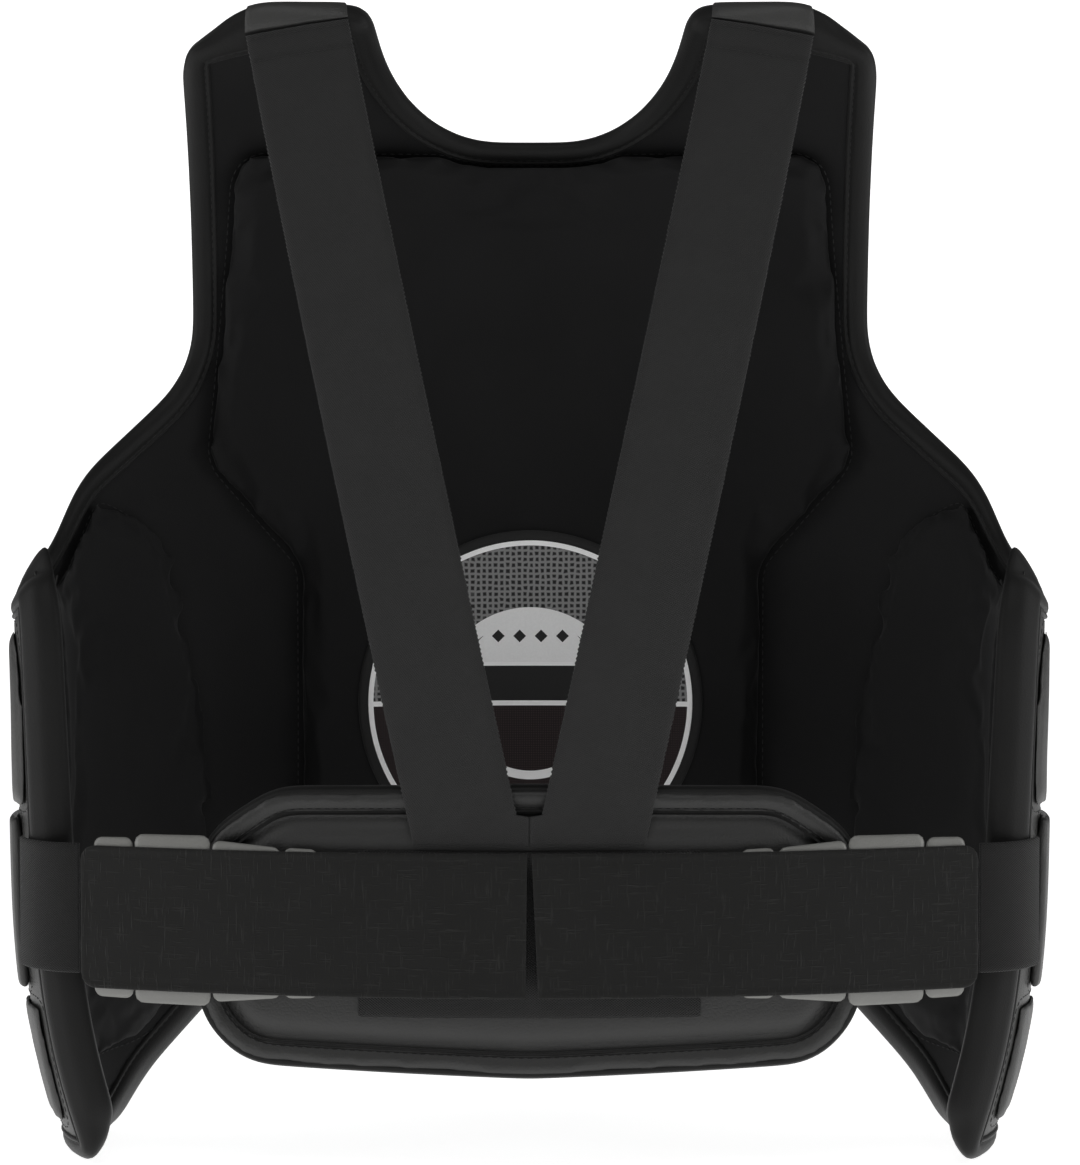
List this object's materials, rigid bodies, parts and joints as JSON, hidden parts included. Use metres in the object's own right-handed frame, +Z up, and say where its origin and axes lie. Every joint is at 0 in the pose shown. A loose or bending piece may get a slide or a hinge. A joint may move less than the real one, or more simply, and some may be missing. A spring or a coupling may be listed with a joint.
{
  "type": "boxing body protector",
  "caption": "Black padded shell for chest, belly and flanks, with V-shaped elastic shoulder webbing, a padded lumbar rest and a two-flap hook-and-loop belt.",
  "frame": {"origin": "on the wearer's torso axis at the height of the belt", "axes": "+X to the wearer's right, +Y forward, +Z up along the torso"},
  "size_m": [0.518, 0.2751, 0.562],
  "materials": {
    "foam": "closed-cell foam, hidden inside the cover",
    "lining_cloth": "matte black lining cloth, fine weave",
    "binding_tape": "black folded edge tape with one stitch line",
    "shell_leather": "glossy black synthetic leather",
    "patch_print": null,
    "elastic_webbing": "black elastic webbing with a fine cross rib",
    "lumbar_leather": "soft black synthetic leather with a low sheen",
    "hook_tape": "black hook tape",
    "loop_fabric": "black loop fabric with a linen-like cross weave",
    "segment_leather": "dark grey glossy synthetic leather"
  },
  "bodies": {
    "shell": {"outer_cover": "shell_leather", "inner_lining": "lining_cloth", "foam_front": "foam", "foam_side_left": "foam", "foam_side_right": "foam", "neck_binding": "binding_tape", "hem_binding": "binding_tape", "armhole_binding_left": "binding_tape", "armhole_binding_right": "binding_tape", "rear_binding_left": "binding_tape", "rear_binding_right": "binding_tape", "chest_panel": "shell_leather", "belly_panel": "shell_leather", "side_panel_left": "shell_leather", "side_panel_right": "shell_leather", "hip_panel_left": "shell_leather", "hip_panel_right": "shell_leather", "waist_panel_left": "shell_leather", "waist_panel_right": "shell_leather", "shoulder_panel_left": "shell_leather", "shoulder_panel_right": "shell_leather", "inner_chest_pad": "lining_cloth", "inner_side_pad_left": "lining_cloth", "inner_side_pad_right": "lining_cloth", "round_patch": "patch_print", "side_band_left": "elastic_webbing", "side_band_right": "elastic_webbing"},
    "back_harness": {"shoulder_strap_left": "elastic_webbing", "shoulder_strap_right": "elastic_webbing", "lumbar_lining": "lining_cloth", "lumbar_foam": "foam", "lumbar_cover": "lumbar_leather", "lumbar_binding": "binding_tape", "hook_panel": "hook_tape"},
    "flap_left": {"flap_face_left": "loop_fabric", "flap_segments_left": "segment_leather", "flap_hook_left": "hook_tape"},
    "flap_right": {"flap_face_right": "loop_fabric", "flap_segments_right": "segment_leather", "flap_hook_right": "hook_tape"}
  },
  "joints": [
    {"name": "harness_swing", "type": "hinge", "parent": "shell", "child": "back_harness", "pos_m": [0, -0.01215, 0.417], "axis": [1, 0, 0], "range_deg": [0, 18]},
    {"name": "flap_left_open", "type": "hinge", "parent": "shell", "child": "flap_left", "pos_m": [-0.2132, -0.08972, 0.0005], "axis": [0, 0, -1], "range_deg": [0, 120]},
    {"name": "flap_right_open", "type": "hinge", "parent": "shell", "child": "flap_right", "pos_m": [0.2132, -0.08972, 0.0005], "axis": [0, 0, 1], "range_deg": [0, 120]}
  ]
}
